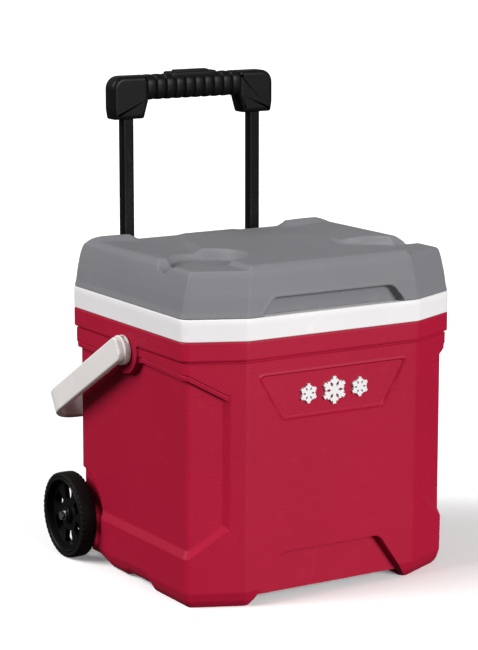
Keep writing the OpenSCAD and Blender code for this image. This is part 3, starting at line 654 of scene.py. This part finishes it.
def lid_points(rim, props):
    """The lid's skin from under its bottom edge to the middle of its top."""
    heights = steps([(325.4, 0.8), (327, 1.2), (350, 2), (366, 1), (382.4, 1)])
    insets = [np.interp(heights, LID[:, 0], LID[:, k]) for k in (1, 2, 3, 4)]
    loops = np.stack([rim_loop(*[i[j] for i in insets], rim) for j in range(len(heights))])
    x, y = loops[..., 0], loops[..., 1]
    z = np.repeat(heights[:, None], loops.shape[1], 1)
    last = loops[-1]
    shares = np.linspace(0, 1, props.rings)[1:, None]
    inner = blend(last[None], MIDDLE, shares[..., None])
    x = np.concatenate([x, inner[..., 0]])
    y = np.concatenate([y, inner[..., 1]])
    z = np.concatenate([z, np.full(inner.shape[:2], heights[-1])])
    wall_rows = len(heights)
    z = soft_min(z, lid_top(x, y, props), 1.2 * MM)

    across = np.abs(x)
    wide = curve(z, [328.4, 344.5], [91.5, 77.7])
    into = soft_min((wide - across) * 0.76, FINGER_RECESS_TOP - z, 5 * MM) + 0.8 * MM
    share = smooth(into / (3 * MM))
    share[wall_rows:] = 0
    lip = 0.35 * MM * np.exp(-((into + 1 * MM) / (1.4 * MM)) ** 2)
    y = np.where(y < 13 * MM, blend(y - lip * (share < 1), props.recess_y - 0.1 * (z - LID_Z), share), y)
    skin = np.stack([x, y, z], 2)
    hem = skin[0] * 1.0
    hem[:, :2] = rim_loop(6.2 * MM, 17.6 * MM, 6.2 * MM, 12.2 * MM, rim)
    tuck = hem + [0, 0, 4 * MM]
    return np.concatenate([[tuck, hem], skin])


# ---- carry handle ----


def strap_section(width, thickness, count):
    """A strap's cross-section with rounded edges: thickness across, width up."""
    half = [(thickness / 2, width / 2), (-thickness / 2, width / 2), (-thickness / 2, -width / 2),
            (thickness / 2, -width / 2)]
    return rounded_loop(half, 2.4 * MM, 6, [3, count, 3, count])


def strap_parts(props, outer_x):
    """The strap's U with its squared ends, in its own plane; the carry handle's operator swings it down."""
    middle = outer_x - props.strap_thickness / 2
    bend = props.strap_corner - props.strap_thickness / 2
    reach = props.strap_reach - props.strap_thickness / 2
    end = -12.6 * MM
    straight = np.concatenate([end + np.array([0, 0.4, 1, 1.8, 2.8, 4, 5.4]) * MM,
                               np.arange(-6.4, 9.2, 0.6) * MM, np.linspace(12 * MM, reach - bend, 24)])
    turn = np.linspace(0, math.pi / 2, 18)[1:]
    right = np.concatenate([
        np.stack([np.full(len(straight), middle), straight], 1),
        np.stack([middle - bend + bend * np.cos(turn), reach - bend + bend * np.sin(turn)], 1)])
    side = np.concatenate([np.tile([1.0, 0.0], (len(straight), 1)), np.stack([np.cos(turn), np.sin(turn)], 1)])
    bar = np.linspace(right[-1, 0], -right[-1, 0], 30)[1:-1]
    path = np.concatenate([right, np.stack([bar, np.full(len(bar), reach)], 1), right[::-1] * [-1, 1]])
    side = np.concatenate([side, np.tile([0.0, 1.0], (len(bar), 1)), side[::-1] * [-1, 1]])
    to_end = np.minimum(path[:, 1] - end, 12 * MM)
    corner, edge = 9 * MM, 2.2 * MM
    cut = corner - np.sqrt(np.maximum(corner ** 2 - np.maximum(corner - to_end, 0) ** 2, 0))
    thin = edge - np.sqrt(np.maximum(edge ** 2 - np.maximum(edge - to_end, 0) ** 2, 0))
    scale = np.stack([1 - 2 * thin / props.strap_thickness, 1 - 2 * cut / props.strap_width], 1)
    lift = np.zeros((len(path), 1))
    return sweep(np.concatenate([path, lift], 1), np.concatenate([side, lift], 1),
                 np.tile([0.0, 0.0, 1.0], (len(path), 1)),
                 strap_section(props.strap_width, props.strap_thickness, 30), scale)


def hub_parts(props, inner_x, outer_x, side):
    """A hub with slots in its round wall, beside the strap."""
    middle = (inner_x + outer_x) / 2
    r = props.hub_radius
    xs = np.concatenate([[inner_x] * 2, inner_x + np.array([0.5, 1.0]) * MM,
                         np.linspace(inner_x + 1.4 * MM, outer_x - 0.8 * MM, 14),
                         [outer_x - 0.3 * MM, outer_x, outer_x]])
    rs = np.concatenate([[5.05 * MM, r - 0.8 * MM], [r - 0.25 * MM, r], np.full(14, r),
                         [r - 0.25 * MM, r - 1 * MM, 5.05 * MM]])

    def slots(x, radius, angle):
        cut = 0
        within = smooth((2.4 * MM - np.abs(x - middle)) / (0.6 * MM))
        for at, long in ((-62, 5.4), (-20, 2.6), (60, 3.6), (150, 3.6)):
            off = np.abs((angle - math.radians(at) + math.pi) % (2 * math.pi) - math.pi) * r
            cut = cut + smooth((long * MM - off) / (0.7 * MM)) * within
        return x, radius - 3 * MM * cut * (radius > 10 * MM)

    points, faces = lathe(np.stack([xs, rs], 1), (0, 0), 144, slots)
    points[..., 0] *= side
    return points, faces


def swing(points, angle):
    """Turns points about the carry handle's pivot and puts them in place."""
    out = np.array(points)
    y, z = points[..., 1], points[..., 2]
    out[..., 1] = PIVOT_Y + y * math.cos(angle) + z * math.sin(angle)
    out[..., 2] = PIVOT_Z - y * math.sin(angle) + z * math.cos(angle)
    return out


# ---- tow handle ----


def thicken(loop, depth, radius, middle_y):
    """A flat loop in X and Z made into a solid with rounded edges; its faces are left to be filled."""
    ahead = np.roll(loop, -1, 0) - np.roll(loop, 1, 0)
    inward = np.stack([-ahead[:, 1], ahead[:, 0]], 1)
    inward /= np.linalg.norm(inward, axis=1)[:, None]
    turn = np.linspace(0, math.pi / 2, 6)
    inset = np.concatenate([[radius + 0.6 * MM], radius * (1 - np.sin(turn))])
    drop = np.concatenate([[0], radius * (1 - np.cos(turn))])
    inset = np.concatenate([inset, inset[::-1]])
    y = np.concatenate([middle_y - depth / 2 + drop, (middle_y + depth / 2 - drop)[::-1]])
    flat = loop[None] + inward[None] * inset[:, None, None]
    return np.stack([flat[..., 0], np.repeat(y[:, None], len(loop), 1), flat[..., 1]], 2)


# ---- operators ----


class COOLER_OT_casing(bpy.types.Operator):
    """Build the red casing"""

    bl_idname = "cooler.casing"
    bl_label = "Casing"

    def execute(self, context):
        points = casing_points(context.scene.cooler_rim, context.scene.cooler_body)
        make_piece("casing", [(points, grid_faces(*points.shape[:2]))], "body", "red_shell", ["body_shell"])
        return {"FINISHED"}


class COOLER_OT_liner(bpy.types.Operator):
    """Build the white rim band and the tub"""

    bl_idname = "cooler.liner"
    bl_label = "Rim and tub"

    def execute(self, context):
        points = liner_points(context.scene.cooler_rim, context.scene.cooler_body)
        make_piece("rim_and_tub", [(points, grid_faces(*points.shape[:2]))], "body",
                   "white_liner", ["body_liner"])
        return {"FINISHED"}


class COOLER_OT_lid(bpy.types.Operator):
    """Build the lid's moulded skin"""

    bl_idname = "cooler.lid"
    bl_label = "Lid"

    def execute(self, context):
        points = lid_points(context.scene.cooler_rim, context.scene.cooler_lid)
        make_piece("lid_skin", [(points, grid_faces(*points.shape[:2]))], "lid", "lid_grey", ["lid_shell"])
        return {"FINISHED"}


class COOLER_OT_carry_handle(bpy.types.Operator):
    """Build the carry handle with its hubs"""

    bl_idname = "cooler.carry_handle"
    bl_label = "Carry handle"

    def execute(self, context):
        props = context.scene.cooler_handle
        outer_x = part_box("bail_handle")[1].x
        parts = [strap_parts(props, outer_x)]
        for side in (-1, 1):
            parts.append(hub_parts(props, RIM_X + 0.4 * MM, outer_x - props.strap_thickness + 1 * MM, side))
        swung = [(swing(points, props.hang), faces) for points, faces in parts]
        make_piece("carry_strap", swung, "carry_handle", "handle_grey", ["bail_handle"])
        return {"FINISHED"}


class COOLER_OT_grip(bpy.types.Operator):
    """Build the tow handle's ribbed grip and its button"""

    bl_idname = "cooler.grip"
    bl_label = "Grip"

    def execute(self, context):
        props = context.scene.cooler_handle
        low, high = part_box("grip_front")
        half, foot, pad = high.x, low.z, high.z
        bar_top, bar_low, inner = pad - 2.6 * MM, foot + 21.6 * MM, 62 * MM
        corners = [(inner + 6 * MM, foot), (half - 2 * MM, foot), (half, foot + 12 * MM), (half, bar_top),
                   (inner, bar_top), (inner, bar_low - 1 * MM)]
        spots = [np.array(c, float) for c in corners]
        radii = [3, 3, 6, 15, 1.5, 3]
        counts = [16, 5, 16, 16, 12, 10]
        arcs = [corner_arc(spots[i - 1], spots[i], spots[(i + 1) % 6], radii[i] * MM, 9)
                for i in range(6)]
        loop = []
        for i in range(6):
            loop.append(arcs[i])
            share = np.linspace(0, 1, counts[i] + 2)[1:-1, None]
            loop.append(blend(arcs[i][-1], arcs[(i + 1) % 6][0], share))
        rings = thicken(np.concatenate(loop), props.grip_depth, 5 * MM, TUBE_Y)
        faces = grid_faces(*rings.shape[:2])
        elbows = make_piece("grip_elbows", [(rings, faces), (rings * [-1, 1, 1], faces)], "tow_handle",
                            "black_plastic", ["grip_front", "grip_rear"])
        fill_holes(elbows)

        xs = np.linspace(-67.6, 67.6, 521) * MM
        off_groove = np.abs((xs / props.rib_pitch + 0.5) % 1.0 - 0.5) * props.rib_pitch
        swell = 1 - (1 - 2 * off_groove / props.rib_pitch) ** 2
        size = 0.985 + 0.055 * swell - 0.11 * np.exp(-(off_groove / (1.1 * MM)) ** 2)
        size = size + (0.97 - size) * (np.abs(xs) > 66 * MM)
        angles = np.linspace(0, 2 * math.pi, 80, endpoint=False)
        deep = props.grip_depth / 2 * np.sign(np.cos(angles)) * np.abs(np.cos(angles)) ** 0.72
        tall = (bar_top - bar_low) / 2 * np.sign(np.sin(angles)) * np.abs(np.sin(angles)) ** 0.72
        centres = np.stack([xs, np.full(len(xs), TUBE_Y), np.full(len(xs), (bar_top + bar_low) / 2)], 1)
        bar = sweep(centres, np.tile([0.0, 1, 0], (len(xs), 1)), np.tile([0.0, 0, 1], (len(xs), 1)),
                    np.stack([deep, tall], 1), np.stack([size, size], 1))
        surround = rounded_box((-32 * MM, TUBE_Y - 9.4 * MM, bar_top - 6 * MM),
                               (32 * MM, TUBE_Y + 9.4 * MM, pad), 2.4 * MM)
        make_piece("grip_ribs", [bar, *surround], "tow_handle", "black_plastic", [])

        low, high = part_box("tow_button")
        parts = rounded_box((low.x, low.y - FRONT_Y, high.z - 9.5 * MM), (high.x, high.y - FRONT_Y, high.z),
                            2 * MM)
        parts += rounded_box((-4 * MM, TUBE_Y - 3.5 * MM, low.z), (4 * MM, TUBE_Y + 3.5 * MM, high.z - 9 * MM),
                             0.5 * MM)
        make_piece("grip_button", parts, "release_button", "black_plastic", ["tow_button"])
        return {"FINISHED"}


def fill_holes(piece):
    """Closes a piece's open loops with flat faces."""
    work = bmesh.new()
    work.from_mesh(piece.data)
    edges = [e for e in work.edges if e.is_boundary]
    bmesh.ops.holes_fill(work, edges=edges, sides=0)
    flat = [f for f in work.faces if len(f.verts) > 4]
    bmesh.ops.triangulate(work, faces=flat)
    bmesh.ops.recalc_face_normals(work, faces=work.faces)
    work.to_mesh(piece.data)
    work.free()
    piece.data.shade_smooth()
    piece.data.set_sharp_from_angle(angle=math.radians(SHARP_ANGLE))


def web_parts(props, x0, x1, r0, r1):
    """The wheel's web: a disc with tapered openings between broad spokes."""
    radii = np.concatenate([np.linspace(r0, 19 * MM, 5), np.linspace(19 * MM, 36 * MM, 10)[1:],
                            np.linspace(36 * MM, r1, 4)[1:]])
    sector = 2 * math.pi / props.openings
    half = curve(radii, [19, 36], [6, 10]) / radii
    rows = []
    for r, h in zip(radii, half):
        marks = np.concatenate([np.linspace(-sector / 2, -h, 6)[:-1], np.linspace(-h, h, 8)[:-1],
                                np.linspace(h, sector / 2, 6)[:-1]])
        rows.append(np.concatenate([marks + k * sector for k in range(props.openings)]))
    angles = np.stack(rows)
    r = np.repeat(radii[:, None], angles.shape[1], 1)
    faces = []
    shape = angles.shape
    index = np.arange(angles.size).reshape(shape)
    per = shape[1] // props.openings
    column = np.arange(shape[1]) % per
    for j in range(shape[0] - 1):
        for i in range(shape[1]):
            open_here = 5 <= column[i] < 12 and 4 <= j < 13
            if not open_here:
                k = (i + 1) % shape[1]
                faces.append((index[j, i], index[j, k], index[j + 1, k], index[j + 1, i]))
    faces = np.array(faces)
    plate = np.stack([np.full(shape, x1), r * np.sin(angles), r * np.cos(angles)], 2).reshape(-1, 3)
    other = plate * [0, 1, 1] + [x0, 0, 0]
    walls = []
    count = len(plate)
    for s in range(props.openings):
        rim = [(4, c) for c in range(5, 12)] + [(j, 12) for j in range(4, 13)]
        rim += [(13, c) for c in range(12, 5, -1)] + [(j, 5) for j in range(13, 4, -1)]
        ids = [index[j, (s * per + c) % shape[1]] for j, c in rim]
        walls += [(a, b, b + count, a + count) for a, b in zip(ids, ids[1:] + ids[:1])]
    return np.concatenate([plate, other]), np.concatenate([faces, faces[:, ::-1] + count, np.array(walls)])


class COOLER_OT_wheels(bpy.types.Operator):
    """Build the wheels and their tyres"""

    bl_idname = "cooler.wheels"
    bl_label = "Wheels"

    def execute(self, context):
        props = context.scene.cooler_wheel
        for side, name in ((-1, "left"), (1, "right")):
            low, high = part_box(f"tyre_{name}")
            inner, outer = min(abs(low.x), abs(high.x)), max(abs(low.x), abs(high.x))
            radius = (high.z - low.z) / 2
            rim = radius - props.tread
            wide = outer - inner

            def tread(x, r, angle):
                shoulder = smooth((np.abs((x - inner) / wide - 0.5) - 0.30) / 0.06)
                beat = np.abs((angle * props.grooves / (2 * math.pi)) % 1.0 - 0.5)
                deep = smooth((0.22 - beat) / 0.1) * shoulder * (r > rim + 2.5 * MM)
                return x, r - 0.9 * MM * deep

            across = np.linspace(inner + 2.6 * MM, outer - 2.6 * MM, 26)
            turn = np.linspace(0, math.pi / 2, 7)
            crown = radius - 0.5 * MM * (2 * (across - inner) / wide - 1) ** 2
            level = crown[0] - 2.6 * MM * (1 - np.cos(turn))
            near = np.stack([inner + 2.6 * MM * (1 - np.sin(turn)), level], 1)
            far = np.stack([outer - 2.6 * MM * (1 - np.sin(turn)), level], 1)
            first, last = [[inner + 0.6 * MM, rim - 0.4 * MM]], [[outer - 0.6 * MM, rim - 0.4 * MM]]
            profile = np.concatenate([first, near[::-1], np.stack([across, crown], 1)[1:-1], far, last, first])
            points, faces = lathe(profile, (0, 0), props.grooves * 6, tread)
            self.place(points, side)
            make_piece(f"tyre_ring_{name}", [(points, faces)], f"{name}_wheel", "tyre_black", [f"tyre_{name}"])

            barrel = self.barrel(inner, outer, rim)
            hub = self.hub(inner, outer)
            web = web_parts(props, inner + 6 * MM, inner + 12 * MM, 9 * MM, rim - 4 * MM)
            parts = [lathe(barrel, (0, 0), 144), lathe(hub, (0, 0), 72), web]
            for points, _ in parts:
                self.place(points, side)
            make_piece(f"wheel_body_{name}", parts, f"{name}_wheel", "black_plastic", [f"wheel_{name}"], 30)
        return {"FINISHED"}

    def place(self, points, side):
        """Moves points about the axle to one side's wheel, in place."""
        points[..., 0] *= side
        points[..., 1] += AXLE_Y
        points[..., 2] += AXLE_Z

    def barrel(self, inner, outer, rim):
        """Profile of the wheel's rim with its raised lip."""
        return np.array([
            (inner, rim - 5 * MM), (inner, rim - 0.8 * MM), (inner + 0.8 * MM, rim), (outer - 1.4 * MM, rim),
            (outer - 0.5 * MM, rim - 0.3 * MM), (outer, rim - 1 * MM), (outer, rim - 2.4 * MM),
            (outer - 0.7 * MM, rim - 3.4 * MM), (outer - 3.4 * MM, rim - 4.6 * MM),
            (inner + 12 * MM, rim - 6 * MM),
            (inner + 6 * MM, rim - 6 * MM), (inner + 0.8 * MM, rim - 5.6 * MM), (inner, rim - 5 * MM),
        ])

    def hub(self, inner, outer):
        """Profile of the wheel's hub, round the axle's bore."""
        return np.array([
            (inner - 0.4 * MM, 4.1 * MM), (inner - 0.4 * MM, 9.8 * MM), (inner + 0.4 * MM, 10.5 * MM),
            (inner + 12 * MM, 10.5 * MM), (outer - 5 * MM, 9.9 * MM), (outer - 4.2 * MM, 9.2 * MM),
            (outer - 4 * MM, 8.4 * MM), (outer - 4 * MM, 4.1 * MM), (inner - 0.4 * MM, 4.1 * MM),
        ])


class COOLER_OT_fittings(bpy.types.Operator):
    """Give every CAD part that stays in view its finish"""

    bl_idname = "cooler.fittings"
    bl_label = "Fittings"

    def execute(self, context):
        slots = {part["node"]: part["material_slot"] for part in frame["record"]["subparts"]}
        for name, thing in frame["nodes"].items():
            thing.data.materials.clear()
            thing.data.materials.append(material(slots[name]))
        return {"FINISHED"}


class COOLER_OT_stage(bpy.types.Operator):
    """Build the floor, the lights and the camera"""

    bl_idname = "cooler.stage"
    bl_label = "Stage"

    def execute(self, context):
        scene = context.scene
        props = scene.cooler_stage
        mesh = bpy.data.meshes.new("floor")
        mesh.from_pydata([(-60, -60, 0), (60, -60, 0), (60, 60, 0), (-60, 60, 0)], [], [(0, 1, 2, 3)])
        floor = bpy.data.objects.new("floor", mesh)
        scene.collection.objects.link(floor)
        paint = bpy.data.materials.new("floor")
        paint.use_nodes = True
        shader = paint.node_tree.nodes["Principled BSDF"]
        shader.inputs["Base Color"].default_value = (0.9, 0.9, 0.9, 1)
        shader.inputs["Roughness"].default_value = 0.8
        shader.inputs["Specular IOR Level"].default_value = 0.0
        # the floor is a lit table: it stays white, and its light does not wash out the shaded sides
        shader.inputs["Emission Color"].default_value = (1, 1, 1, 1)
        shader.inputs["Emission Strength"].default_value = props.table
        mesh.materials.append(paint)
        floor.visible_diffuse = False
        floor.visible_glossy = False

        world = bpy.data.worlds.new("studio")
        world.use_nodes = True
        tree = world.node_tree
        way = add_node(tree, "ShaderNodeTexCoord", {}, {}, "Generated")
        height = add_node(tree, "ShaderNodeSeparateXYZ", {}, {"Vector": way}, "Z")
        sky = mix_colour(tree, height.above(-0.25, 0.6), (0.22,) * 3, (1.0,) * 3)
        tree.links.new(sky.socket, tree.nodes["Background"].inputs["Color"])
        tree.nodes["Background"].inputs["Strength"].default_value = props.sky
        scene.world = world
        self.lamp(scene, "key", (0.2, -0.95, 0.27), 28, props.key)
        self.lamp(scene, "side", (-0.8, 0.25, 0.6), 40, props.side)

        target = Vector(props.target)
        turn, lift = props.azimuth, props.elevation
        away = Vector((math.sin(turn) * math.cos(lift), -math.cos(turn) * math.cos(lift), math.sin(lift)))
        lens = bpy.data.cameras.new("camera")
        lens.lens = props.lens
        lens.sensor_width = 36
        camera = bpy.data.objects.new("camera", lens)
        camera.location = target + away * props.distance
        camera.rotation_euler = (-away).to_track_quat("-Z", "Y").to_euler()
        scene.collection.objects.link(camera)
        scene.camera = camera
        scene.view_settings.view_transform = "Standard"
        return {"FINISHED"}

    def lamp(self, scene, name, way, softness, strength):
        """Adds a far soft light whose rays come along a direction; softness is in degrees."""
        light = bpy.data.lights.new(name, "SUN")
        light.angle = math.radians(softness)
        light.energy = strength
        lamp = bpy.data.objects.new(name, light)
        lamp.rotation_euler = (-Vector(way)).to_track_quat("-Z", "Y").to_euler()
        scene.collection.objects.link(lamp)


class COOLER_PT_looks(bpy.types.Panel):
    """Buttons and sizes of the cooler's looks"""

    bl_label = "Cooler"
    bl_idname = "COOLER_PT_looks"
    bl_space_type = "VIEW_3D"
    bl_region_type = "UI"
    bl_category = "Cooler"

    def draw(self, context):
        for operator in OPERATORS:
            self.layout.operator(operator.bl_idname)
        for name, group in SETTINGS.items():
            column = self.layout.column(align=True)
            column.label(text=name.replace("cooler_", "").title())
            for prop in group.__annotations__:
                column.prop(getattr(context.scene, name), prop)


OPERATORS = (
    COOLER_OT_casing,
    COOLER_OT_liner,
    COOLER_OT_lid,
    COOLER_OT_carry_handle,
    COOLER_OT_grip,
    COOLER_OT_wheels,
    COOLER_OT_fittings,
    COOLER_OT_stage,
)
SETTINGS = {
    "cooler_rim": CoolerRimSettings,
    "cooler_body": CoolerBodySettings,
    "cooler_lid": CoolerLidSettings,
    "cooler_handle": CoolerHandleSettings,
    "cooler_wheel": CoolerWheelSettings,
    "cooler_stage": CoolerStageSettings,
}


def register():
    for kind in (*SETTINGS.values(), *OPERATORS, COOLER_PT_looks):
        bpy.utils.register_class(kind)
    for name, group in SETTINGS.items():
        setattr(bpy.types.Scene, name, PointerProperty(type=group))


def unregister():
    for name in SETTINGS:
        delattr(bpy.types.Scene, name)
    for kind in (COOLER_PT_looks, *reversed(OPERATORS), *SETTINGS.values()):
        bpy.utils.unregister_class(kind)


def main():
    register()
    for operator in OPERATORS:
        group, name = operator.bl_idname.split(".")
        getattr(getattr(bpy.ops, group), name)()


if __name__ == "__main__":
    main()
